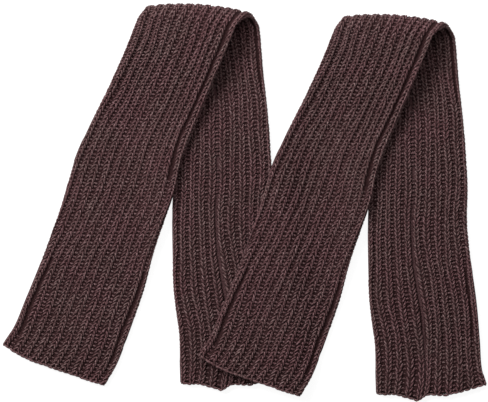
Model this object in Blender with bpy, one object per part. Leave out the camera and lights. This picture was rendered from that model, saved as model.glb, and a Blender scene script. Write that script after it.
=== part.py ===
"""A pair of knitted arm sleeves, each one a rib-knitted tube that is pressed flat and folded over once.

Lengths in the tables are millimetres and turn into metres when the points are placed. Each sleeve
is drawn in its own frame: the origin is the middle of its fold, X runs to the right, Y runs up the
back leg, Z is up from the surface that it lies on. The right sleeve's front leg lies on the left
sleeve's back leg.
"""

import math
from collections import namedtuple

import bmesh
import bpy
from mathutils import Vector

MM = 0.001

# The knitted wall. A panel is one side of the flattened tube.
PANEL = 2.6            # one panel, from its plain inside to the crowns of its ribs
AIR = 0.4              # between the two panels
THICKNESS = 2 * PANEL + AIR
RIB_DEPTH = 0.8        # how far the valleys lie under the crowns
SEAM_DEPTH = 1.4       # the valley that holds the joining seam is pulled in deeper
RIBS = 11              # on one panel, numbered from -5 to 5 across, so 22 round the tube
CROWN = 0.27           # half of a crown's flat top, in rib pitches
SIDE_VALLEY = RIBS / 2   # a valley runs down each side edge, and both panels share it
SIDE_TRIM = 0.6        # the wall reaches its full width at the crowns beside that valley
SEAM_VALLEY = -0.5     # the seam lies in the valley left of the middle rib
CUFF_GAPE = 0.6        # how far the upper panel stands off the lower one at an open cuff
CUFF_FADE = 26.0       # the length over which a cuff's shape dies away

# The fold. The cloth goes over a soft half turn, and slips sideways along the crease on its way.
FOLD_TILT = -4.0       # degrees from X, so the crease falls to the right
FOLD_RADIUS = 9.0      # of the tube's middle surface
FOLD_BOW = 4.2         # the middle of the turn reaches this much further out than its ends
FOLD_SLIP = 18.8
FOLD_WIDTH = 79.0      # where the legs meet the turn, measured along the crease
FOLD_SPREAD = 3.2      # the bent tube spreads by this much at the top of the turn
FOLD_STEPS = 10

# How the front leg comes down from the fold and lies on what is under it.
SETTLE = 90.0          # the distance from the crease over which it comes down
CLEARANCE = 0.8        # over the leg that carries it
EDGE_MARGIN = 4.5      # it stays up for this far past the edge of that leg
EDGE_RAMP = 28.0       # and reaches the surface over this distance
PLAIN_UNDER_FROM = 70.0   # the underside's ribs are pressed flat from here on
PLAIN_UNDER_FADE = 30.0

BACK_ROWS = 17
FRONT_ROWS = 23

Section = namedtuple("Section", "x y tilt width drift")

# From the cuff up to the fold. x and y are the middle of the section, tilt is how far it turns
# from X in degrees, and drift is how far the middle ribs sit to the right of their even places.
BACK_LEG = [
    Section(29.3, -284.0, 4.6, 89.5, -3.4),
    Section(27.2, -270.4, 3.7, 86.0, 1.0),
    Section(26.2, -247.2, 2.7, 84.7, 1.6),
    Section(23.5, -222.8, 2.1, 85.7, 1.4),
    Section(21.1, -198.4, 1.6, 84.4, 0.8),
    Section(19.2, -174.0, 1.1, 81.4, -1.2),
    Section(18.2, -149.5, 0.9, 79.4, -1.6),
    Section(18.8, -125.2, 1.5, 79.2, -1.0),
    Section(18.1, -99.3, 3.0, 78.0, -0.5),
    Section(16.0, -69.6, 4.0, 77.2, 0.0),
    Section(13.1, -38.0, 0.0, 76.4, 0.0),
]

# From the fold down to the cuff.
FRONT_LEG = [
    Section(-20.9, -28.0, -16.0, 75.0, 0.0),
    Section(-37.8, -67.1, -24.0, 76.0, 0.0),
    Section(-50.5, -95.2, -23.0, 79.3, 0.0),
    Section(-60.0, -122.8, -20.0, 84.4, 0.0),
    Section(-72.5, -162.0, -20.6, 82.0, 0.0),
    Section(-84.7, -200.4, -21.0, 85.2, 0.0),
    Section(-99.0, -238.0, -21.5, 87.4, 0.0),
    Section(-106.9, -257.7, -22.0, 88.0, 0.0),
    Section(-116.1, -272.8, -21.7, 88.7, 0.0),
]

Hem = namedtuple("Hem", "rib back_upper back_under front_upper front_under")

# How far each rib's end hangs below the straight line between a cuff's two corners.
HEMS = [
    Hem(-5, 0.0, 0.0, 0.0, 0.0),
    Hem(-4, 1.6, 1.0, 1.6, 0.6),
    Hem(-3, 2.6, 1.8, 2.8, 1.2),
    Hem(-2, 4.6, 2.4, 3.2, 1.6),
    Hem(-1, 8.4, 2.8, 3.0, 1.8),
    Hem(0, 3.8, 3.0, 2.6, 1.8),
    Hem(1, 5.6, 2.8, 2.2, 1.6),
    Hem(2, 5.4, 2.4, 1.8, 1.4),
    Hem(3, 4.0, 1.8, 1.2, 1.0),
    Hem(4, 2.2, 1.0, 0.8, 0.6),
    Hem(5, 0.0, 0.0, 0.0, 0.0),
]

# Where each sleeve's fold lies in the part's own frame, in millimetres.
LEFT_FOLD = (-36.6, 142.7)
PAIR_STEP = (156.8, -8.4)
RIGHT_FOLD = (LEFT_FOLD[0] + PAIR_STEP[0], LEFT_FOLD[1] + PAIR_STEP[1])

WOOL_COLOUR = (0.060, 0.031, 0.034, 1.0)
WOOL_ROUGHNESS = 0.9

CREASE = Vector((math.cos(math.radians(FOLD_TILT)), math.sin(math.radians(FOLD_TILT))))
OVER = Vector((-CREASE.y, CREASE.x))   # away from the legs, at right angles to the crease

# One row of the tube: its place in plan, the direction across it, and what shapes it.
Row = namedtuple("Row", "kind x y across width drift turn cuff")


def eased(t):
    t = min(1.0, max(0.0, t))
    return t * t * (3 - 2 * t)


def across_of(tilt):
    return Vector((math.cos(math.radians(tilt)), math.sin(math.radians(tilt))))


def between(value, places, values):
    """Straight interpolation of values over rising places."""
    for low, high, a, b in zip(places, places[1:], values, values[1:]):
        if value <= high:
            return a + (b - a) * max(0.0, value - low) / (high - low)
    return values[-1]


def smooth_reading(sections, along, distance):
    """The section at a distance along a leg, on a smooth curve through the table's sections."""
    last = len(sections) - 1
    i = max(k for k in range(last) if k == 0 or along[k] <= distance)
    span = along[i + 1] - along[i]
    t = (distance - along[i]) / span
    reading = []
    for column in range(len(Section._fields)):
        here, there = sections[i][column], sections[i + 1][column]
        slopes = []
        for k in (i, i + 1):
            low, high = max(0, k - 1), min(last, k + 1)
            slopes.append((sections[high][column] - sections[low][column]) / (along[high] - along[low]))
        a = slopes[0] * span - (there - here)
        b = -slopes[1] * span + (there - here)
        reading.append((1 - t) * here + t * there + t * (1 - t) * ((1 - t) * a + t * b))
    return Section(*reading)


def fold_end(side):
    """The section where a leg meets the fold: side is 1 at the back leg and -1 at the front leg."""
    middle = CREASE * side * FOLD_SLIP / 2
    return Section(middle.x, middle.y, FOLD_TILT, FOLD_WIDTH, 0.0)


def leg_rows(kind, sections, count, cuff_at_start):
    """Rows spread evenly along a leg, both ends included."""
    along = [0.0]
    for a, b in zip(sections, sections[1:]):
        along.append(along[-1] + math.hypot(b.x - a.x, b.y - a.y))
    rows = []
    for n in range(count):
        distance = along[-1] * n / (count - 1)
        s = smooth_reading(sections, along, distance)
        from_cuff = distance if cuff_at_start else along[-1] - distance
        cuff = 1 - eased(from_cuff / CUFF_FADE)
        rows.append(Row(kind, s.x, s.y, across_of(s.tilt), s.width, s.drift, 0.0, cuff))
    return rows


def fold_rows():
    """The rows inside the half turn, without its two ends."""
    rows = []
    for n in range(1, FOLD_STEPS):
        share = n / FOLD_STEPS
        turn = math.pi * share
        middle = CREASE * FOLD_SLIP * (0.5 - share)
        width = FOLD_WIDTH + FOLD_SPREAD * math.sin(turn)
        rows.append(Row("fold", middle.x, middle.y, CREASE, width, 0.0, turn, 0.0))
    return rows


def past_edge(x, y, leg_origin):
    """How far a point lies outside the outline of a back leg, negative inside it."""
    x -= leg_origin[0]
    y -= leg_origin[1]
    leg = BACK_LEG + [fold_end(1)]
    heights = [s.y for s in leg]
    middle = between(y, heights, [s.x for s in leg])
    half = between(y, heights, [s.width for s in leg]) / 2
    lowest_hem = max(h.back_upper for h in HEMS)
    return max(abs(x - middle) - half, heights[0] - lowest_hem - y)


def rest_height(x, y, carriers):
    """The height of the front leg's underside, over the legs that carry it or on the surface."""
    carried = max(1 - eased((past_edge(x, y, c) - EDGE_MARGIN) / EDGE_RAMP) for c in carriers)
    lying = (THICKNESS + CLEARANCE) * carried
    from_crease = -Vector((x, y)).dot(OVER)
    return lying + (2 * FOLD_RADIUS - lying) * (1 - eased(from_crease / SETTLE))


def plain_under(row):
    """0 where the front leg's underside still has its ribs, 1 where they are pressed flat."""
    from_crease = -Vector((row.x, row.y)).dot(OVER)
    return eased((from_crease - PLAIN_UNDER_FROM) / PLAIN_UNDER_FADE)


def side_shape(row, side):
    """(rib depth share, gape, hem column) of one panel; side 1 is outside the fold, -1 inside it."""
    if row.kind == "back":
        return (0.0, 0.0, "back_under") if side > 0 else (1.0, CUFF_GAPE, "back_upper")
    if row.kind == "fold":
        # The ribs on the panel that lies on the surface stand up again as it leaves the surface.
        return (eased(2 * row.turn / math.pi) if side > 0 else 1.0, 0.0, "back_upper")
    return (1.0, CUFF_GAPE, "front_upper") if side > 0 else (1 - plain_under(row), 0.0, "front_under")


def hem_drop(row, column, rib):
    if not row.cuff:
        return 0.0
    return row.cuff * between(rib, [h.rib for h in HEMS], [getattr(h, column) for h in HEMS])


def on_surface(row, side, rib, depth):
    """A point under the crown line, as (across, out): flat over a panel, round at its side edges.

    Valleys have half numbers, and the ribs are spread evenly over the distance along the surface.
    """
    radius = THICKNESS / 2
    flat = row.width / 2 - radius + SIDE_TRIM
    pitch = (flat + math.pi / 2 * radius) / SIDE_VALLEY
    place = rib * pitch + row.drift * (1 - (rib / SIDE_VALLEY) ** 2)
    turn = max(0.0, abs(place) - flat) / radius
    reach = min(abs(place), flat) + (radius - depth) * math.sin(turn)
    return math.copysign(reach, place), side * (radius - depth) * math.cos(turn)


def panel_points(row, side, side_share):
    """One panel's points as (across, out, drop), outer ones and inner ones.

    Side 1 runs from left to right and side -1 from right to left. Each starts at the valley on its
    side edge, whose depth share is side_share, and ends before the valley on the other one.
    """
    share, gape, column = side_shape(row, side)
    outer, inner = [], []
    for n in range(RIBS):
        rib = side * (n - RIBS // 2)
        valley = rib - side * 0.5
        lift = side * gape * row.cuff * (1 - (valley / SIDE_VALLEY) ** 2)
        drop = hem_drop(row, column, valley)
        if n == 0:
            across, out = on_surface(row, side, valley, side_share * RIB_DEPTH)
            inner.append((math.copysign(row.width / 2 - PANEL, valley), 0.0, 0.0))
        else:
            holds_seam = side < 0 and valley == SEAM_VALLEY
            depth = SEAM_DEPTH if holds_seam else RIB_DEPTH
            across, out = on_surface(row, side, valley, share * depth)
            inner.append((across, side * AIR / 2 + lift, drop))
        outer.append((across, out + lift, drop))
        for edge in (-side * CROWN, side * CROWN):
            across, out = on_surface(row, side, rib + edge, 0.0)
            lift = side * gape * row.cuff * (1 - ((rib + edge) / SIDE_VALLEY) ** 2)
            outer.append((across, out + lift, hem_drop(row, column, rib)))
    return outer, inner


def ring(row):
    """The closed outer ring and the closed inner ring of a row, as (across, out, drop)."""
    side_share = max(side_shape(row, side)[0] for side in (1, -1))
    outer, inner = [], []
    for side in (1, -1):
        panel_outer, panel_inner = panel_points(row, side, side_share)
        outer += panel_outer
        inner += panel_inner
    return outer, inner


def placed(row, point, carriers):
    """A ring's point in the sleeve's own frame. Its out value points away from the fold's inside."""
    across, out, drop = point
    plan = Vector((row.x, row.y)) + row.across * across
    if row.kind == "fold":
        bow = FOLD_BOW * (1 - (2 * across / row.width) ** 2)
        plan += OVER * (FOLD_RADIUS + out + bow) * math.sin(row.turn)
        height = THICKNESS / 2 + FOLD_RADIUS - (FOLD_RADIUS + out) * math.cos(row.turn)
        return Vector((plan.x, plan.y, height))
    plan += Vector((row.across.y, -row.across.x)) * drop
    if row.kind == "back":
        return Vector((plan.x, plan.y, THICKNESS / 2 - out))
    return Vector((plan.x, plan.y, rest_height(plan.x, plan.y, carriers) + THICKNESS / 2 + out))


def rim_faces(outer, inner):
    """The faces that close a cuff's wall, one for each rib, from valley to valley."""
    faces = []
    for n in range(len(inner)):
        top = [outer[(3 * n + k) % len(outer)] for k in range(4)]
        faces.append(top + [inner[(n + 1) % len(inner)], inner[n]])
    return faces


def wool():
    material = bpy.data.materials.new("brown_wool_rib")
    material.use_nodes = True
    shader = material.node_tree.nodes["Principled BSDF"]
    shader.inputs["Base Color"].default_value = WOOL_COLOUR
    shader.inputs["Roughness"].default_value = WOOL_ROUGHNESS
    shader.inputs["Metallic"].default_value = 0.0
    material.diffuse_color = WOOL_COLOUR
    return material


def make_sleeve(name, fold_place, carriers, material):
    """One sleeve. carriers are the folds' places of the sleeves whose back legs carry its front leg."""
    rows = leg_rows("back", BACK_LEG + [fold_end(1)], BACK_ROWS, True)
    rows += fold_rows()
    rows += leg_rows("front", [fold_end(-1)] + FRONT_LEG, FRONT_ROWS, False)
    own_frame = [(c[0] - fold_place[0], c[1] - fold_place[1]) for c in carriers]
    mesh = bmesh.new()
    rings = []
    for row in rows:
        outer, inner = ring(row)
        rings.append([
            [mesh.verts.new(placed(row, p, own_frame) * MM) for p in loop] for loop in (outer, inner)
        ])
    for (outer_a, inner_a), (outer_b, inner_b) in zip(rings, rings[1:]):
        for a, b in ((outer_a, outer_b), (inner_b, inner_a)):
            for n in range(len(a)):
                after = (n + 1) % len(a)
                mesh.faces.new((a[n], a[after], b[after], b[n]))
    for corners in rim_faces(*rings[0]):
        mesh.faces.new(corners[::-1])
    for corners in rim_faces(*rings[-1]):
        mesh.faces.new(corners)
    bmesh.ops.recalc_face_normals(mesh, faces=mesh.faces[:])
    data = bpy.data.meshes.new(name)
    mesh.to_mesh(data)
    mesh.free()
    data.shade_smooth()
    data.set_sharp_from_angle(angle=math.radians(40))
    data.materials.append(material)
    sleeve = bpy.data.objects.new(name, data)
    sleeve.location = (fold_place[0] * MM, fold_place[1] * MM, 0.0)
    bpy.context.scene.collection.objects.link(sleeve)
    return sleeve


for old in list(bpy.data.objects):
    bpy.data.objects.remove(old)

brown_wool = wool()
make_sleeve("left_sleeve", LEFT_FOLD, [LEFT_FOLD], brown_wool)
make_sleeve("right_sleeve", RIGHT_FOLD, [RIGHT_FOLD, LEFT_FOLD], brown_wool)
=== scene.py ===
import math
from collections import namedtuple

import bpy
import numpy as np
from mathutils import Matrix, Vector


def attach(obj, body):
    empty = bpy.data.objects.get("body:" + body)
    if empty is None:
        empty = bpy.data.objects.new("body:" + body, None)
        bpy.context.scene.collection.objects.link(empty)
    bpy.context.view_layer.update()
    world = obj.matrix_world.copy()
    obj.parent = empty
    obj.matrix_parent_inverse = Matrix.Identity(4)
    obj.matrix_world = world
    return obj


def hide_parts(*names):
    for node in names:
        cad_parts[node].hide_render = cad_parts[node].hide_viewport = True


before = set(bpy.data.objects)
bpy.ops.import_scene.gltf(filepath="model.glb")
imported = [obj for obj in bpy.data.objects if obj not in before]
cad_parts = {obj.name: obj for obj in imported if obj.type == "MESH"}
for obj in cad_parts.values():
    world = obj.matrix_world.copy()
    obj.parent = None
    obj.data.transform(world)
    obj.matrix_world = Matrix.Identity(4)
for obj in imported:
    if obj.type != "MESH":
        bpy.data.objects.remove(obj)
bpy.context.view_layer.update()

# The wall of each sleeve. The real one is thick wool in 1x1 rib, 44 stitches wide and 200 rows long,
# sewn up into a tube, pressed flat and folded over once. This is the ground that the stitches stand
# on: a thin hollow shell on the solid's own form, with its ribs and the soft creases of its cloth.

MM = 0.001
PANEL = 2.6            # one side of the flattened tube, from its plain inside to its highest stitches
AIR = 0.4              # between the two sides
THICKNESS = 2 * PANEL + AIR
RIBS = 11              # on one side, numbered from -5 to 5, so 22 round the tube
SIDE_VALLEY = RIBS / 2   # a valley runs down each side edge
SIDE_TRIM = 0.6        # the knit reaches its full width at the ribs beside that valley
CUFF_GAPE = 0.6        # how far the upper side stands off the lower one at an open cuff
CUFF_FADE = 26.0       # the length over which a cuff's shape dies away
FOLD_TILT = math.radians(-4.0)
FOLD_RADIUS = 9.0      # of the tube's middle surface
FOLD_BOW = 4.2         # the middle of the turn reaches this much further out than its ends
FOLD_SLIP = 18.8       # how far the cloth slips along the crease on its way round
FOLD_WIDTH = 79.0      # where the legs meet the turn
FOLD_SPREAD = 3.2      # how much wider the tube is at the top of the turn
SETTLE = 90.0          # the distance from the crease over which the front leg comes down
CLEARANCE = 0.8        # between it and the leg that carries it
EDGE_MARGIN = 4.5      # it stays up for this far past the edge of that leg
EDGE_RAMP = 28.0       # and reaches the surface over this distance
PLAIN_UNDER_FROM = 70.0   # from here on its underside is pressed flat
PLAIN_UNDER_FADE = 30.0
CREASE = np.array((math.cos(FOLD_TILT), math.sin(FOLD_TILT)))
OVER = np.array((-CREASE[1], CREASE[0]))   # from the legs over the crease

Section = namedtuple("Section", "x y tilt width drift")

# From the cuff up to the fold, and from the fold down to the other cuff. x and y are the middle of a
# section, tilt is how far it turns from X in degrees, and drift moves its middle ribs to the right.
BACK_LEG = [
    Section(29.3, -284.0, 4.6, 89.5, -3.4),
    Section(27.2, -270.4, 3.7, 86.0, 1.0),
    Section(26.2, -247.2, 2.7, 84.7, 1.6),
    Section(23.5, -222.8, 2.1, 85.7, 1.4),
    Section(21.1, -198.4, 1.6, 84.4, 0.8),
    Section(19.2, -174.0, 1.1, 81.4, -1.2),
    Section(18.2, -149.5, 0.9, 79.4, -1.6),
    Section(18.8, -125.2, 1.5, 79.2, -1.0),
    Section(18.1, -99.3, 3.0, 78.0, -0.5),
    Section(16.0, -69.6, 4.0, 77.2, 0.0),
    Section(13.1, -38.0, 0.0, 76.4, 0.0),
    Section(CREASE[0] * FOLD_SLIP / 2, CREASE[1] * FOLD_SLIP / 2, -4.0, FOLD_WIDTH, 0.0),
]
FRONT_LEG = [
    Section(-CREASE[0] * FOLD_SLIP / 2, -CREASE[1] * FOLD_SLIP / 2, -4.0, FOLD_WIDTH, 0.0),
    Section(-20.9, -28.0, -16.0, 75.0, 0.0),
    Section(-37.8, -67.1, -24.0, 76.0, 0.0),
    Section(-50.5, -95.2, -23.0, 79.3, 0.0),
    Section(-60.0, -122.8, -20.0, 84.4, 0.0),
    Section(-72.5, -162.0, -20.6, 82.0, 0.0),
    Section(-84.7, -200.4, -21.0, 85.2, 0.0),
    Section(-99.0, -238.0, -21.5, 87.4, 0.0),
    Section(-106.9, -257.7, -22.0, 88.0, 0.0),
    Section(-116.1, -272.8, -21.7, 88.7, 0.0),
]

# How far each rib's end hangs below the straight line between a cuff's two corners, for ribs -5 to 5.
# The key says whether it is the front leg, and which side of the tube: 1 is outside the fold.
HEMS = {
    (0, -1): (0.0, 1.6, 2.6, 4.6, 8.4, 3.8, 5.6, 5.4, 4.0, 2.2, 0.0),
    (0, 1): (0.0, 1.0, 1.8, 2.4, 2.8, 3.0, 2.8, 2.4, 1.8, 1.0, 0.0),
    (1, 1): (0.0, 1.6, 2.8, 3.2, 3.0, 2.6, 2.2, 1.8, 1.2, 0.8, 0.0),
    (1, -1): (0.0, 0.6, 1.2, 1.6, 1.8, 1.8, 1.6, 1.4, 1.0, 0.6, 0.0),
}
LOWEST_HEM = max(HEMS[0, -1])

Sleeve = namedtuple("Sleeve", "name fold carriers")
LEFT_FOLD = np.array((-36.6, 142.7))
RIGHT_FOLD = LEFT_FOLD + (156.8, -8.4)
SLEEVES = [
    Sleeve("left", LEFT_FOLD, [LEFT_FOLD]),
    Sleeve("right", RIGHT_FOLD, [RIGHT_FOLD, LEFT_FOLD]),
]


def eased(t):
    t = np.clip(t, 0, 1)
    return t * t * (3 - 2 * t)


def smooth_through(places, values, at):
    """Values on a smooth curve through a table's rows, whose slopes come from their neighbours."""
    order = np.arange(len(places))
    low, high = np.maximum(order - 1, 0), np.minimum(order + 1, len(places) - 1)
    slopes = (values[high] - values[low]) / (places[high] - places[low])[:, None]
    i = np.clip(np.searchsorted(places, at, side="right") - 1, 0, len(places) - 2)
    span = (places[i + 1] - places[i])[:, None]
    t = (at - places[i])[:, None] / span
    rise = values[i + 1] - values[i]
    bend = (1 - t) * (slopes[i] * span - rise) + t * (rise - slopes[i + 1] * span)
    return (1 - t) * values[i] + t * values[i + 1] + t * (1 - t) * bend


def leg_track(sections, front, steps=240):
    """Closely spaced rows along one leg.

    A row has its distance, x, y, the way across it in x and y, its width, its drift, how far the fold
    has turned there, 1 at a cuff and 0 away from it, and 1 on the front leg or 0 on the back one.
    """
    table = np.array(sections)
    places = np.r_[0, np.cumsum(np.hypot(*np.diff(table[:, :2], axis=0).T))]
    along = np.linspace(0, places[-1], steps)
    x, y, tilt, width, drift = smooth_through(places, table, along).T
    tilt = np.radians(tilt)
    from_cuff = along[-1] - along if front else along
    cuff = 1 - eased(from_cuff / CUFF_FADE)
    turn = np.full(steps, math.pi * front)
    is_front = np.full(steps, front)
    return np.c_[along, x, y, np.cos(tilt), np.sin(tilt), width, drift, turn, cuff, is_front]


def fold_track(steps=61):
    """The same kind of rows round the fold."""
    share = np.linspace(0, 1, steps)[1:-1]
    turn = math.pi * share
    along = share * math.hypot(math.pi * FOLD_RADIUS, FOLD_SLIP)
    middle = CREASE * (FOLD_SLIP * (0.5 - share))[:, None]
    width = FOLD_WIDTH + FOLD_SPREAD * np.sin(turn)
    none = np.zeros(len(share))
    return np.c_[along, middle, np.tile(CREASE, (len(share), 1)), width, none, turn, none, none]


back, fold, front = leg_track(BACK_LEG, 0), fold_track(), leg_track(FRONT_LEG, 1)
FOLD_START = back[-1, 0]
FOLD_END = FOLD_START + math.hypot(math.pi * FOLD_RADIUS, FOLD_SLIP)
fold[:, 0] += FOLD_START
front[:, 0] += FOLD_END
TUBE_LENGTH = front[-1, 0]
past_cuffs = (4 * back[0] - 3 * back[1], 4 * front[-1] - 3 * front[-2])   # a little beyond both ends
TRACK = np.vstack([past_cuffs[0], back, fold, front, past_cuffs[1]])
X, Y, TURN, IS_FRONT = 1, 2, 7, 9   # columns of the track

# How far the ribs stray to the right of their even places, in ribs, on the upper face of each leg.
# The first number is the distance from the back cuff, and the others are at ribs -4, -2.5, -1, 0, 2
# and 4. Below its middle the front leg has turned by one whole rib, and by the seam the ribs part.
SWAY_RIBS = np.array((-4, -2.5, -1, 0, 2, 4))
BACK_SWAY = np.array([
    (0, 0.00, 0.06, 0.12, -0.16, -0.12, -0.04),
    (20, 0.00, 0.06, 0.12, -0.16, -0.12, -0.04),
    (32, -0.04, -0.04, 0.06, -0.08, -0.08, -0.06),
    (46, -0.08, -0.10, 0.02, 0.04, -0.02, -0.04),
    (62, -0.20, -0.24, 0.00, 0.12, 0.06, -0.02),
    (78, -0.28, -0.36, -0.02, 0.11, 0.06, -0.02),
    (95, -0.14, -0.18, -0.06, 0.08, 0.06, 0.02),
    (112, -0.04, 0.04, 0.00, 0.06, 0.16, 0.12),
    (142, 0.02, 0.00, 0.06, 0.12, 0.26, 0.18),
    (170, -0.08, -0.08, 0.04, 0.10, 0.26, 0.26),
    (196, 0.02, 0.02, 0.10, 0.22, 0.28, 0.26),
    (222, 0.20, 0.06, 0.26, 0.40, 0.44, 0.38),
    (252, 0.34, 0.14, 0.18, 0.42, 0.40, 0.30),
    (284, 0.20, 0.10, 0.12, 0.20, 0.20, 0.20),
])
FRONT_SWAY = np.array([
    (318, 0.30, 0.20, 0.14, 0.20, 0.16, -0.10),
    (344, 0.50, 0.28, 0.24, 0.34, 0.26, -0.16),
    (376, 0.40, 0.20, 0.10, 0.20, 0.14, -0.24),
    (400, 0.24, 0.18, 0.08, 0.16, 0.06, -0.28),
    (414, 0.10, 0.12, 0.04, 0.08, 0.04, -0.22),
    (440, 0.00, 0.04, 0.00, 0.00, 0.00, -0.10),
    (462, -0.02, 0.02, -0.02, -0.08, -0.04, -0.10),
    (478, -0.12, -0.12, -0.16, -0.28, -0.26, -0.26),
    (494, -0.34, -0.36, -0.38, -0.46, -0.42, -0.46),
    (510, -0.52, -0.56, -0.58, -0.66, -0.62, -0.56),
    (526, -0.76, -0.78, -0.80, -0.88, -0.82, -0.68),
    (545, -0.94, -0.92, -0.92, -1.00, -0.98, -0.82),
    (570, -0.96, -0.90, -0.92, -1.02, -1.04, -0.92),
    (613, -0.96, -0.84, -0.84, -0.98, -0.98, -0.82),
])

# The ribs' own small waves: how far they reach in ribs, millimetres along a rib for each radian, and
# radians from one rib to the next.
Wave = namedtuple("Wave", "reach length turn")
WAVES = [Wave(0.05, 19, 1.9), Wave(0.03, 8.3, -1.3)]


def sway(along, loop):
    """How many ribs the knit has slid round the tube, here. loop counts ribs round it from -5.5."""
    slid = []
    for table, knots, way in ((BACK_SWAY, RIBS - SWAY_RIBS, -1), (FRONT_SWAY, SWAY_RIBS, 1)):
        strays = smooth_through(table[:, 0], table[:, 1:], np.clip(along.ravel(), *table[[0, -1], 0]))
        near = [np.interp(loop.ravel(), knots[::way], one[::way], period=2 * RIBS)
                for one in np.eye(len(SWAY_RIBS))]
        slid.append(way * (strays.T * near).sum(axis=0).reshape(along.shape))
    share = eased((along - FOLD_START) / (FOLD_END - FOLD_START))
    waves = sum(w.reach * np.sin(along / w.length + w.turn * loop) for w in WAVES)
    return (1 - share) * slid[0] + share * slid[1] + waves


def on_side(along, loop):
    """The side of the tube and the place on it, in ribs from its middle, of a place round the tube."""
    at = (loop + sway(along, loop) + SIDE_VALLEY) % (2 * RIBS) - SIDE_VALLEY
    outside = at < SIDE_VALLEY
    return np.where(outside, 1, -1), np.where(outside, at, RIBS - at)


# The main creases, listed one by one: leg (0 back, 1 front), side, rib and distance of the middle,
# half its length and width, how many ribs it slants, and how deep its trough is, or below 0 how high.
Fold = namedtuple("Fold", "leg side rib along reach width slant depth")
FOLDS = [
    Fold(0, -1, -1.9, 84, 26, 0.80, 0.6, -0.7),
    Fold(0, -1, 2.2, 60, 30, 1.30, -0.5, -0.6),
    Fold(0, -1, 0.4, 24, 18, 1.40, 0.4, 0.8),
    Fold(0, -1, 2.6, 118, 34, 1.20, 0.8, 0.6),
    Fold(0, -1, -2.6, 150, 30, 1.00, 0.5, -0.6),
    Fold(0, -1, 3.2, 190, 36, 1.00, -0.4, -0.6),
    Fold(0, -1, 1.2, 214, 30, 0.90, 0.6, 0.6),
    Fold(1, 1, -3.4, 350, 34, 1.20, 0.4, -0.8),
    Fold(1, 1, -2.4, 374, 24, 0.60, 0.3, 0.6),
    Fold(1, 1, 2.4, 384, 40, 1.20, 0.5, 0.6),
    Fold(1, 1, 0.6, 420, 36, 1.10, -0.5, -0.6),
    Fold(1, 1, -3.2, 446, 34, 1.10, 0.3, -0.7),
    Fold(1, 1, 2.8, 462, 30, 1.20, -0.8, 0.6),
    Fold(1, 1, -2.2, 492, 28, 1.20, -0.9, 0.7),
    Fold(1, 1, 0.8, 508, 30, 1.00, -1.0, -0.7),
    Fold(1, 1, 3.8, 520, 26, 0.80, -0.8, -0.6),
    Fold(1, 1, -0.8, 560, 36, 1.60, 0.3, 0.6),
    Fold(1, 1, 2.4, 584, 30, 1.00, -0.2, -0.8),
    Fold(1, 1, -1.4, 560, 36, 0.35, 0.35, 1.0),
    Fold(1, 1, 0.1, 574, 26, 0.35, 0.50, 0.8),
    Fold(0, 1, -2.8, 70, 34, 1.20, 0.6, 0.5),       # from here on, similar ones on the hidden sides
    Fold(0, 1, 1.6, 140, 40, 1.20, -0.6, -0.4),
    Fold(0, 1, 3.2, 226, 34, 1.00, 0.4, 0.5),
    Fold(1, -1, 1.4, 350, 30, 1.20, 0.5, 0.6),
    Fold(1, -1, -2.6, 372, 26, 1.00, -0.5, -0.5),
    Fold(1, -1, 2.6, 470, 40, 1.20, -0.8, 0.4),
]

# The valleys that gape, most of them at the seam or one rib inside a rolled edge: which one round the
# tube, the distance of its middle, half its length, and how much deeper it is.
Groove = namedtuple("Groove", "loop along reach depth")
SEAM = 11.5            # where the knitted piece's two side edges are sewn together
GROOVES = [
    Groove(4.5, 372, 84, 2.4),
    Groove(5.5, 556, 60, 1.6),
    Groove(-4.5, 362, 50, 1.2),
    Groove(-4.5, 466, 48, 1.2),
    Groove(-3.5, 566, 56, 1.5),
    Groove(SEAM, 10, 60, 2.0),
    Groove(SEAM, 88, 56, 2.6),
    Groove(SEAM, 142, 8, 1.6),
    Groove(SEAM, 173, 7, 1.6),
    Groove(SEAM, 229, 7, 1.6),
    Groove(6.5, 68, 40, 1.7),
    Groove(6.5, 262, 42, 2.0),
    Groove(15.5, 84, 80, 1.2),
    Groove(1.5, 410, 50, 0.9),
    Groove(-1.5, 476, 56, 0.8),
    Groove(0.5, 560, 60, 1.0),
    Groove(13.5, 60, 70, 1.0),
    Groove(8.5, 96, 80, 0.8),
    Groove(9.5, 30, 50, 1.0),
]
GROOVE_WIDTH = 0.15    # in ribs

CUFF_RIBS = 0.7        # how much deeper the valleys are at a cuff, whose edge draws the ribs together
CUFF_RIBS_FADE = 60.0
FOLD_RIBS = 1.0        # and at the fold, where the cloth is stretched over itself
FOLD_RIBS_FADE = 70.0


def groove(along, loop):
    """How much deeper the valleys are where they gape."""
    depth = 0
    for g in GROOVES:
        t = np.clip((along - g.along) / g.reach, -1, 1)
        across = ((loop - g.loop + RIBS) % (2 * RIBS) - RIBS) / GROOVE_WIDTH
        depth = depth + g.depth * (1 - t ** 4) * np.exp(-across ** 2)
    return depth


def valley(loop):
    """0 on the ribs, 1 in the valleys between them."""
    return 0.5 - 0.5 * np.cos(2 * math.pi * loop)


def relief(along, loop, side, rib, is_front):
    """How much deeper the cloth lies than its even form, in its creases."""
    from_cuff = np.minimum(along, TUBE_LENGTH - along)
    from_fold = abs(along - (FOLD_START + FOLD_END) / 2)
    depth = CUFF_RIBS * valley(loop) * (1 - eased(from_cuff / CUFF_RIBS_FADE))
    depth += FOLD_RIBS * valley(loop) * (1 - eased(from_fold / FOLD_RIBS_FADE))
    for f in FOLDS:
        t = (along - f.along) / f.reach
        here = (side == f.side) & (is_front == f.leg) & (abs(t) < 1)
        across = (rib - f.rib - f.slant * t) / f.width
        depth += np.where(here, f.depth * (1 - t * t) ** 2 * np.exp(-across ** 2), 0)
    return depth + groove(along, loop)


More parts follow.
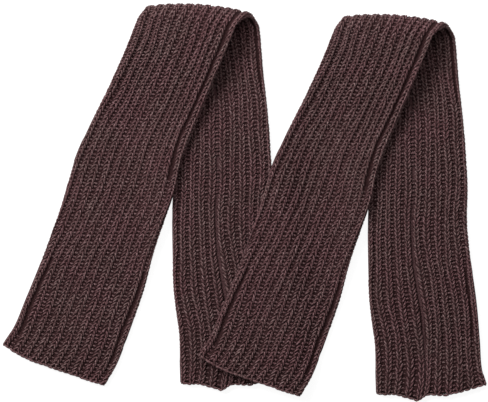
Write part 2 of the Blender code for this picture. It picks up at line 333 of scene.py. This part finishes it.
def rest_height(x, y, carriers):
    """How high the front leg lies over the back legs that carry it, or on the surface."""
    leg = np.array(BACK_LEG)
    carried = 0
    for fold_place in carriers:
        own_x, own_y = x - fold_place[0], y - fold_place[1]
        aside = abs(own_x - np.interp(own_y, leg[:, 1], leg[:, 0]))
        past_side = aside - np.interp(own_y, leg[:, 1], leg[:, 3]) / 2
        past = np.maximum(past_side, leg[0, 1] - LOWEST_HEM - own_y)
        carried = np.maximum(carried, 1 - eased((past - EDGE_MARGIN) / EDGE_RAMP))
    lying = (THICKNESS + CLEARANCE) * carried
    from_crease = -((x - carriers[0][0]) * OVER[0] + (y - carriers[0][1]) * OVER[1])
    return lying + (2 * FOLD_RADIUS - lying) * (1 - eased(from_crease / SETTLE))


def standing(along, side):
    """1 where the ribs stand up, 0 where they are pressed flat on what is under them."""
    x, y, turn, is_front = (np.interp(along, TRACK[:, 0], TRACK[:, c]) for c in (X, Y, TURN, IS_FRONT))
    from_crease = -(x * OVER[0] + y * OVER[1])
    pressed = is_front * eased((from_crease - PLAIN_UNDER_FROM) / PLAIN_UNDER_FADE)
    return np.where(side > 0, eased(2 * turn / math.pi), 1 - pressed)


PRESSED_RELIEF = 0.3   # the share of the creases' depth that is left on a pressed underside
DEEP = 1.9             # past this depth the cloth is pushed together, so that no crease goes through
LEAST_AIR = 0.05       # half of what stays between the tube's two sides


def knit(sleeve, along, loop, depth):
    """Points of the knit in the part's frame, in millimetres.

    along is the distance from the back cuff, loop counts ribs round the tube with whole numbers on
    the ribs and half numbers in the valleys, and depth is under the line of the highest stitches.
    """
    along, loop, depth = np.broadcast_arrays(along, loop, depth)
    side, rib = on_side(along, loop)
    row = (np.interp(along, TRACK[:, 0], TRACK[:, c]) for c in range(1, TRACK.shape[1]))
    x, y, across_x, across_y, width, drift, turn, cuff, is_front = row
    leg = np.rint(is_front)
    soft = PRESSED_RELIEF + (1 - PRESSED_RELIEF) * standing(along, side)
    depth = depth + soft * relief(along, loop, side, rib, leg)
    radius = THICKNESS / 2
    room = radius - DEEP - LEAST_AIR
    pushed = DEEP + room * (1 - np.exp(-np.maximum(0, depth - DEEP) / room))
    depth = np.where(depth < DEEP, depth, pushed)
    flat = width / 2 - radius + SIDE_TRIM
    pitch = (flat + math.pi / 2 * radius) / SIDE_VALLEY
    middle = 1 - (rib / SIDE_VALLEY) ** 2
    place = rib * pitch + drift * middle
    bent = np.maximum(0, abs(place) - flat) / radius
    reach = np.sign(place) * (np.minimum(abs(place), flat) + (radius - depth) * np.sin(bent))
    out = side * (radius - depth) * np.cos(bent)
    drop = np.zeros(along.shape)
    for (hem_leg, hem_side), hem in HEMS.items():
        here = (leg == hem_leg) & (side == hem_side)
        drop[here] = (cuff * np.interp(rib, range(-5, 6), hem))[here]
    on_top = np.where(is_front > 0.5, side > 0, side < 0)
    out = out + side * on_top * CUFF_GAPE * cuff * middle
    bow = FOLD_BOW * (1 - (2 * reach / width) ** 2)
    beyond = (FOLD_RADIUS + out + bow) * np.sin(turn)
    x = sleeve.fold[0] + x + across_x * reach + across_y * drop + OVER[0] * beyond
    y = sleeve.fold[1] + y + across_y * reach - across_x * drop + OVER[1] * beyond
    settled = is_front * (rest_height(x, y, sleeve.carriers) - 2 * FOLD_RADIUS)
    z = radius + FOLD_RADIUS - (FOLD_RADIUS + out) * np.cos(turn) + settled
    return np.stack([x, y, z], axis=-1)


GROUND_CROWN = 1.25    # how deep the ground lies under the highest stitches on a rib
GROUND_VALLEY = 2.00   # and in a valley
PRESSED_GROUND = 0.55  # and on an underside that is pressed flat
SEAM_SINK = 1.2        # how much deeper the turned-in edges draw it at the seam
SEAM_SINK_WIDTH = 0.25   # in ribs
RIB_STEPS = 6          # points across one rib
BACK_ROWS = 71         # rows of points along the back leg
FOLD_ROWS = 17
FRONT_ROWS = 75


def mesh_object(name, points, faces, material, **attributes):
    """A new object at the origin from points in millimetres, with its numbers for each point."""
    data = bpy.data.meshes.new(name)
    data.from_pydata((points.reshape(-1, 3) * MM).tolist(), [], faces)
    for key, values in attributes.items():
        kind, field = ("FLOAT_VECTOR", "vector") if np.ndim(values) > 1 else ("FLOAT", "value")
        layer = data.attributes.new(key, kind, "POINT")
        layer.data.foreach_set(field, np.ascontiguousarray(values, dtype=np.float32).ravel())
    data.shade_smooth()
    data.materials.append(material)
    piece = bpy.data.objects.new(name, data)
    bpy.context.scene.collection.objects.link(piece)
    return piece


def shades(nodes, links, level, stops):
    """A socket that gives a pattern its colours, from stops of its level, red, green and blue."""
    ramp = nodes.new("ShaderNodeValToRGB")
    elements = ramp.color_ramp.elements
    for element, stop in zip(elements, (stops[0], stops[-1])):
        element.position = stop[0]
        element.color = (*stop[1:], 1)
    for stop in stops[1:-1]:
        elements.new(stop[0]).color = (*stop[1:], 1)
    links.new(level, ramp.inputs["Fac"])
    return ramp.outputs["Color"]


ground_wool = bpy.data.materials.new("ground_wool")
ground_wool.use_nodes = True
nodes, links = ground_wool.node_tree.nodes, ground_wool.node_tree.links
shader = nodes["Principled BSDF"]
shader.inputs["Roughness"].default_value = 0.95
shader.inputs["Specular IOR Level"].default_value = 0.1
place = nodes.new("ShaderNodeTexCoord")
fibres = nodes.new("ShaderNodeTexNoise")
fibres.inputs["Scale"].default_value = 1400
fibres.inputs["Detail"].default_value = 3
links.new(place.outputs["Object"], fibres.inputs["Vector"])
# The ground's colour carries painted shade. Where its ribs stand up under the stitches it gets a
# darker wool, standing in for the shade between them. Where the cloth is pressed flat, and on its
# inner face, it keeps a lighter wool colour.
painted_shade_between_stitches = [(0.35, 0.009, 0.003, 0.003), (0.75, 0.041, 0.017, 0.018)]
unshaded_in_the_open = [(0.35, 0.026, 0.010, 0.011), (0.75, 0.095, 0.050, 0.052)]
out_of_painted_shade_node = nodes.new("ShaderNodeAttribute")
out_of_painted_shade_node.attribute_name = "shown"
wool = nodes.new("ShaderNodeMix")
wool.data_type = "RGBA"
links.new(out_of_painted_shade_node.outputs["Fac"], wool.inputs["Factor"])
links.new(shades(nodes, links, fibres.outputs["Fac"], painted_shade_between_stitches), wool.inputs["A"])
links.new(shades(nodes, links, fibres.outputs["Fac"], unshaded_in_the_open), wool.inputs["B"])
links.new(wool.outputs["Result"], shader.inputs["Base Color"])
fuzz = nodes.new("ShaderNodeBump")
fuzz.inputs["Strength"].default_value = 0.6
fuzz.inputs["Distance"].default_value = 0.0003
links.new(fibres.outputs["Fac"], fuzz.inputs["Height"])
links.new(fuzz.outputs["Normal"], shader.inputs["Normal"])

ground_rows = np.r_[
    np.linspace(0, FOLD_START, BACK_ROWS),
    np.linspace(FOLD_START, FOLD_END, FOLD_ROWS)[1:-1],
    np.linspace(FOLD_END, TUBE_LENGTH, FRONT_ROWS),
]
walls = {}
round_it = np.arange(2 * RIBS * RIB_STEPS) / RIB_STEPS - SIDE_VALLEY
ribbed = GROUND_CROWN + (GROUND_VALLEY - GROUND_CROWN) * valley(round_it)
ribbed += SEAM_SINK * np.exp(-((round_it - SEAM) / SEAM_SINK_WIDTH) ** 2)
for sleeve in SLEEVES:
    row, place_round = np.meshgrid(ground_rows, round_it, indexing="ij")
    stands = standing(row, on_side(row, place_round)[0])
    outer = knit(sleeve, row, place_round, PRESSED_GROUND + (ribbed - PRESSED_GROUND) * stands)
    inner = knit(sleeve, row, place_round, THICKNESS / 2 - AIR / 2)
    rows, count = row.shape
    faces = []
    for n in range(count):
        after = (n + 1) % count
        for a in range(0, (rows - 1) * count, count):
            b, c, d = a + count, a + rows * count, a + (rows + 1) * count
            faces += [(a + n, b + n, b + after, a + after), (c + after, d + after, d + n, c + n)]
        for a, flip in ((0, 1), ((rows - 1) * count, -1)):
            c = a + rows * count
            faces.append((a + n, a + after, c + after, c + n)[::flip])
    points = np.vstack([outer.reshape(-1, 3), inner.reshape(-1, 3)])
    # 1 where the ground keeps its lighter colour, 0 where it gets the painted shade between standing
    # stitches
    shown = np.r_[1 - stands.ravel(), np.ones(rows * count)]
    walls[sleeve.name] = mesh_object(f"{sleeve.name}_sleeve_wall", points, faces, ground_wool,
                                     shown=shown)
    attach(walls[sleeve.name], "root")
    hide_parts(f"{sleeve.name}_sleeve")

# The knit stitches. Each is a V of soft two-ply wool that stands on a rib, with its point towards the
# cast-on cuff. One leg of the V is a short grain of yarn whose two ends dive into the ground.

ROWS = 200
COURSE = TUBE_LENGTH / ROWS   # the height of a row
RIB_PITCH = 7.75       # about, to turn a stitch's own width into ribs
STANDS = 0.2           # a rib that stands less than this share of its height has pressed stitches
KNIT_START = 0.15      # where a knit stitch starts in its row

Bend = namedtuple("Bend", "across along depth radius")

# One leg's middle line: millimetres from the middle of its rib, rows from the start of its stitch.
V_LEG = [
    Bend(0.10, -0.35, 2.10, 0.0),
    Bend(0.52, -0.14, 1.10, 0.58),
    Bend(1.08, 0.20, 0.88, 0.69),
    Bend(1.67, 0.57, 0.93, 0.69),
    Bend(2.10, 0.93, 1.27, 0.56),
    Bend(2.32, 1.18, 2.10, 0.0),
]
V_SIDES = 6

# And one on an underside that is pressed flat.
PRESSED_V_LEG = [
    Bend(0.05, -0.30, 1.25, 0.0),
    Bend(0.60, 0.00, 0.64, 0.50),
    Bend(1.50, 0.62, 0.64, 0.50),
    Bend(2.00, 1.15, 1.25, 0.0),
]
PRESSED_V_SIDES = 4
LOOSE_PLACE = 0.16     # how far stitches stray from each other's line, in millimetres
LOOSE_ROW = 0.07       # along it, in rows
LOOSE_DEPTH = 0.10     # into the cloth, in millimetres
LOOSE_SIZE = 0.07      # and how much their size differs
LIFT = 0.3             # a step out of the cloth, which shows which way is up
CHART_MARGIN = 0.05    # round each stitch's own cell of the chart for baking


def grains(name, sleeve, bends, along, loop, hand, sides, material, seed):
    """Many short grains of yarn as one mesh.

    Each follows the same bends from its own place, and where hand is -1 it is their mirror image.
    """
    table = np.array(bends)
    chance = np.random.default_rng(seed)
    loose = chance.normal(0, 1, (4, len(along), 1))
    size = 1 + LOOSE_SIZE * loose[0]
    loops = loop[:, None] + (hand[:, None] * table[:, 0] * size + LOOSE_PLACE * loose[1]) / RIB_PITCH
    rows = along[:, None] + (table[:, 1] + LOOSE_ROW * loose[2]) * COURSE
    depth = table[:, 2] + LOOSE_DEPTH * abs(loose[3])
    middle = knit(sleeve, rows, loops, depth)
    above = knit(sleeve, rows, loops, depth - LIFT)
    tangent = np.gradient(middle, axis=1)
    tangent /= np.linalg.norm(tangent, axis=2, keepdims=True)
    normal = above - middle
    normal -= tangent * (normal * tangent).sum(axis=2, keepdims=True)
    normal /= np.linalg.norm(normal, axis=2, keepdims=True)
    beside = np.cross(tangent, normal)
    angle = np.arange(sides) * 2 * math.pi / sides
    radius = (table[1:-1, 3] * size)[:, :, None, None]
    sideways = beside[:, 1:-1, None] * np.cos(angle)[:, None]
    upwards = normal[:, 1:-1, None] * np.sin(angle)[:, None]
    rings = middle[:, 1:-1, None] + radius * (sideways + upwards)
    count, bodies = len(along), len(bends) - 2
    points = np.concatenate([rings.reshape(count, -1, 3), middle[:, :1], middle[:, -1:]], axis=1)
    faces, unrolled = [], []
    for j in range(sides):
        k = (j + 1) % sides
        for i in range(bodies - 1):
            a, b = i * sides, (i + 1) * sides
            faces.append((a + j, b + j, b + k, a + k))
            unrolled += [(i + 1, j), (i + 2, j), (i + 2, j + 1), (i + 1, j + 1)]
        last = (bodies - 1) * sides
        faces.append((bodies * sides, j, k))
        unrolled += [(0, j + 0.5), (1, j), (1, j + 1)]
        faces.append((last + j, bodies * sides + 1, last + k))
        unrolled += [(bodies, j), (bodies + 1, j + 0.5), (bodies, j + 1)]
    each = points.shape[1]
    every = [tuple(v + n * each for v in face) for n in range(count) for face in faces]
    tone = np.repeat(chance.normal(0, 1, count), each)
    length = np.r_[0, np.cumsum(np.linalg.norm(np.diff(middle[0], axis=0), axis=1))]
    around = np.tile(np.c_[np.cos(angle), np.sin(angle)], (bodies, 1))
    ply = np.c_[around, np.repeat(length[1:-1], sides)]
    ply = np.vstack([ply, (0, 0, length[0]), (0, 0, length[-1])])
    piece = mesh_object(name, points, every, material, ply=np.tile(ply, (count, 1)), tone=tone)
    cells = math.ceil(math.sqrt(count))
    cell = np.c_[np.arange(count) % cells, np.arange(count) // cells][:, None]
    within = CHART_MARGIN + (1 - 2 * CHART_MARGIN) * np.array(unrolled) / (bodies + 1, sides)
    chart = piece.data.uv_layers.new(name="OFBake")
    chart.data.foreach_set("uv", ((cell + within) / cells).astype(np.float32).ravel())
    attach(piece, "root")
    return piece


TONE_STEP = 0.02       # how much one stitch differs in tone from the next
TWIST = 1.5            # of the two plies, in radians for each millimetre
FIBRE_HEIGHT = 0.5     # of the fine fibres, as a share of a ply's
yarn_wool = bpy.data.materials.new("yarn_wool")
yarn_wool.use_nodes = True
nodes, links = yarn_wool.node_tree.nodes, yarn_wool.node_tree.links
shader = nodes["Principled BSDF"]
shader.inputs["Roughness"].default_value = 0.9
shader.inputs["Specular IOR Level"].default_value = 0.15
shader.inputs["Sheen Weight"].default_value = 0.08
shader.inputs["Sheen Roughness"].default_value = 0.5
shader.inputs["Sheen Tint"].default_value = (0.80, 0.62, 0.64, 1)
tone = nodes.new("ShaderNodeAttribute")
tone.attribute_name = "tone"
place = nodes.new("ShaderNodeTexCoord")
heather = nodes.new("ShaderNodeTexNoise")
heather.inputs["Scale"].default_value = 750
heather.inputs["Detail"].default_value = 3
heather.inputs["Roughness"].default_value = 0.6
links.new(place.outputs["Object"], heather.inputs["Vector"])
mixed = nodes.new("ShaderNodeMath")
mixed.operation = "MULTIPLY_ADD"
links.new(tone.outputs["Fac"], mixed.inputs[0])
mixed.inputs[1].default_value = TONE_STEP
links.new(heather.outputs["Fac"], mixed.inputs[2])
brown_wool = [(0.28, 0.027, 0.009, 0.010), (0.50, 0.079, 0.037, 0.038), (0.72, 0.185, 0.119, 0.119)]
patches = nodes.new("ShaderNodeTexNoise")
patches.inputs["Scale"].default_value = 45
patches.inputs["Detail"].default_value = 1
links.new(place.outputs["Object"], patches.inputs["Vector"])
greener_and_redder = [(0.38, 0.93, 0.98, 0.95), (0.64, 1.0, 0.91, 0.95)]
dyed = nodes.new("ShaderNodeMix")
dyed.data_type = "RGBA"
dyed.blend_type = "MULTIPLY"
dyed.inputs["Factor"].default_value = 1
links.new(shades(nodes, links, mixed.outputs[0], brown_wool), dyed.inputs["A"])
links.new(shades(nodes, links, patches.outputs["Fac"], greener_and_redder), dyed.inputs["B"])
links.new(dyed.outputs["Result"], shader.inputs["Base Color"])
turned = nodes.new("ShaderNodeAttribute")
turned.attribute_name = "ply"
parts = nodes.new("ShaderNodeSeparateXYZ")
links.new(turned.outputs["Vector"], parts.inputs[0])
angle = nodes.new("ShaderNodeMath")
angle.operation = "ARCTAN2"
links.new(parts.outputs["Y"], angle.inputs[0])
links.new(parts.outputs["X"], angle.inputs[1])
twisted = nodes.new("ShaderNodeMath")
twisted.operation = "MULTIPLY_ADD"
links.new(parts.outputs["Z"], twisted.inputs[0])
twisted.inputs[1].default_value = TWIST
links.new(angle.outputs[0], twisted.inputs[2])
strands = nodes.new("ShaderNodeMath")
strands.operation = "SINE"
links.new(twisted.outputs[0], strands.inputs[0])
rounded = nodes.new("ShaderNodeMath")
rounded.operation = "ABSOLUTE"
links.new(strands.outputs[0], rounded.inputs[0])
fine = nodes.new("ShaderNodeTexNoise")
fine.inputs["Scale"].default_value = 3500
fine.inputs["Detail"].default_value = 2
links.new(place.outputs["Object"], fine.inputs["Vector"])
height = nodes.new("ShaderNodeMath")
height.operation = "MULTIPLY_ADD"
links.new(fine.outputs["Fac"], height.inputs[0])
height.inputs[1].default_value = FIBRE_HEIGHT
links.new(rounded.outputs[0], height.inputs[2])
plies = nodes.new("ShaderNodeBump")
plies.inputs["Strength"].default_value = 0.7
plies.inputs["Distance"].default_value = 0.0003
links.new(height.outputs[0], plies.inputs["Height"])
links.new(plies.outputs["Normal"], shader.inputs["Normal"])

stitches = {sleeve.name: [] for sleeve in SLEEVES}
course, loop, hand = (v.ravel() for v in np.meshgrid(
    np.arange(ROWS), np.arange(2 * RIBS) - RIBS // 2, (-1, 1), indexing="ij"))
stitch_along = (course + KNIT_START) * COURSE
stitch_stands = standing(stitch_along, on_side(stitch_along, loop)[0]) > STANDS
legs = {"back_leg": stitch_along < FOLD_START, "front_leg": stitch_along >= FOLD_START}
for sleeve in SLEEVES:
    for leg, on_leg in legs.items():
        name = f"{sleeve.name}_{leg}_knit_stitches"
        chosen = stitch_stands & on_leg
        piece = grains(name, sleeve, V_LEG, stitch_along[chosen], loop[chosen], hand[chosen],
                       V_SIDES, yarn_wool, seed=len(stitches[sleeve.name]) + 1)
        stitches[sleeve.name].append(piece)
    name = f"{sleeve.name}_pressed_knit_stitches"
    chosen = ~stitch_stands
    piece = grains(name, sleeve, PRESSED_V_LEG, stitch_along[chosen], loop[chosen], hand[chosen],
                   PRESSED_V_SIDES, yarn_wool, seed=3)
    stitches[sleeve.name].append(piece)

# The purl stitches. They fill the valleys between the ribs, each a low bump of the same yarn that
# lies across its valley. Where a valley gapes, they lie hidden at its bottom and are left out.

PURL_BUMP = [
    Bend(-1.45, -0.10, 2.50, 0.0),
    Bend(-0.76, 0.05, 1.54, 0.60),
    Bend(0.0, 0.16, 1.32, 0.73),
    Bend(0.76, 0.05, 1.54, 0.60),
    Bend(1.45, -0.10, 2.50, 0.0),
]
PURL_SIDES = 4
PURL_START = 0.6       # where a purl stitch starts in its row
GAPING = 1.3           # how deep a groove is where it hides them

course, loop = (v.ravel() for v in np.meshgrid(
    np.arange(ROWS), np.arange(2 * RIBS) - RIBS // 2 + 0.5, indexing="ij"))
along = (course + PURL_START) * COURSE
gapes = groove(along, loop) > GAPING
chosen = (standing(along, on_side(along, loop)[0]) > STANDS) & ~gapes
for sleeve in SLEEVES:
    piece = grains(f"{sleeve.name}_purl_stitches", sleeve, PURL_BUMP, along[chosen], loop[chosen],
                   np.ones(chosen.sum()), PURL_SIDES, yarn_wool, seed=11)
    stitches[sleeve.name].append(piece)

# The seam. The two side edges of the knitted piece are turned in and sewn together from the inside, so
# that the valley there is deeper. Where it gapes, rungs of the same yarn cross it between the edges.

SEAM_RUNG = [
    Bend(-1.30, -0.20, 2.90, 0.0),
    Bend(-0.60, -0.05, 2.70, 0.30),
    Bend(0.60, 0.05, 2.70, 0.30),
    Bend(1.30, 0.20, 2.90, 0.0),
]
SEAM_RUNG_SIDES = 6
ROWS_PER_RUNG = 7

rung_along = along[gapes & (loop == SEAM)][::ROWS_PER_RUNG]
for sleeve in SLEEVES:
    piece = grains(f"{sleeve.name}_seam_rungs", sleeve, SEAM_RUNG, rung_along,
                   np.full(len(rung_along), SEAM), np.ones(len(rung_along)), SEAM_RUNG_SIDES,
                   yarn_wool, seed=21)
    stitches[sleeve.name].append(piece)

# The cast-on and bound-off edges. At each cuff a chain of loops, two to a rib, closes the last row. It
# is the same yarn, and curls a little over the cut end of the wall.

CAST_ON_LOOP = [
    Bend(-2.40, 0.08, 2.40, 0.0),
    Bend(-1.50, -0.11, 1.58, 0.80),
    Bend(0.0, -0.20, 1.35, 0.92),
    Bend(1.50, -0.14, 1.58, 0.80),
    Bend(2.40, 0.05, 2.40, 0.0),
]
BOUND_OFF_LOOP = [
    Bend(-2.60, 0.02, 2.30, 0.0),
    Bend(-1.60, 0.20, 1.50, 0.80),
    Bend(0.0, 0.30, 1.30, 0.90),
    Bend(1.60, 0.26, 1.50, 0.80),
    Bend(2.60, 0.08, 2.30, 0.0),
]
EDGE_SIDES = 8
loop = np.arange(4 * RIBS) / 2 - SIDE_VALLEY + 0.25
for sleeve in SLEEVES:
    for edge, bends, end in (("cast_on", CAST_ON_LOOP, 0), ("bound_off", BOUND_OFF_LOOP, TUBE_LENGTH)):
        piece = grains(f"{sleeve.name}_{edge}_edge", sleeve, bends, np.full(len(loop), end), loop,
                       np.ones(len(loop)), EDGE_SIDES, yarn_wool, seed=31)
        stitches[sleeve.name].append(piece)

# The floor, the lights and the camera. A plain pale table, a large soft light from the top left, a
# weaker strip of light over the folds, and a long lens that looks straight down.

FLOOR_SIZE = 6.0
FLOOR_TOP = -0.0002    # a hair below the sleeves
bpy.ops.object.select_all(action="DESELECT")
bpy.ops.mesh.primitive_plane_add(size=FLOOR_SIZE, location=(0, 0, FLOOR_TOP))
floor = bpy.context.object
floor.name = "floor"
pale = bpy.data.materials.new("pale_floor")
pale.use_nodes = True
shader = pale.node_tree.nodes["Principled BSDF"]
shader.inputs["Base Color"].default_value = (0.16, 0.16, 0.16, 1)
shader.inputs["Roughness"].default_value = 0.9
shader.inputs["Emission Color"].default_value = (1, 1, 1, 1)
shader.inputs["Emission Strength"].default_value = 0.9
floor.data.materials.append(pale)

FRAME_WIDTH = 0.3904   # of the table that the picture's 488 pixels take in
FRAME_HEIGHT = 0.008   # the height at which it is that wide, on the upper legs
CAMERA_HEIGHT = 3.0
CAMERA_PLACE = (-0.0006, 0.0004, CAMERA_HEIGHT)
bpy.ops.object.camera_add(location=CAMERA_PLACE, rotation=(0, 0, 0))
camera = bpy.context.object
camera.data.sensor_width = 36
camera.data.lens = camera.data.sensor_width * (CAMERA_HEIGHT - FRAME_HEIGHT) / FRAME_WIDTH
camera.data.clip_end = 20
bpy.context.scene.camera = camera

world = bpy.data.worlds.new("studio")
bpy.context.scene.world = world
world.use_nodes = True
background = world.node_tree.nodes["Background"]
background.inputs["Color"].default_value = (1, 1, 1, 1)
background.inputs["Strength"].default_value = 0.328

Light = namedtuple("Light", "name x y z long wide watts")
LIGHTS = [
    Light("softbox", -1.20, 0.90, 1.30, 0.90, 0.90, 53),
    Light("strip_over_the_top", 0.0, 0.75, 0.60, 1.40, 0.30, 7.6),
]
for light in LIGHTS:
    spot = Vector((light.x, light.y, light.z))
    bpy.ops.object.light_add(type="AREA", location=spot)
    lamp = bpy.context.object
    lamp.name = light.name
    lamp.data.shape = "RECTANGLE"
    lamp.data.size = light.long
    lamp.data.size_y = light.wide
    lamp.data.energy = light.watts
    lamp.rotation_euler = (-spot).to_track_quat("-Z", "Y").to_euler()
bpy.context.scene.view_settings.view_transform = "Standard"
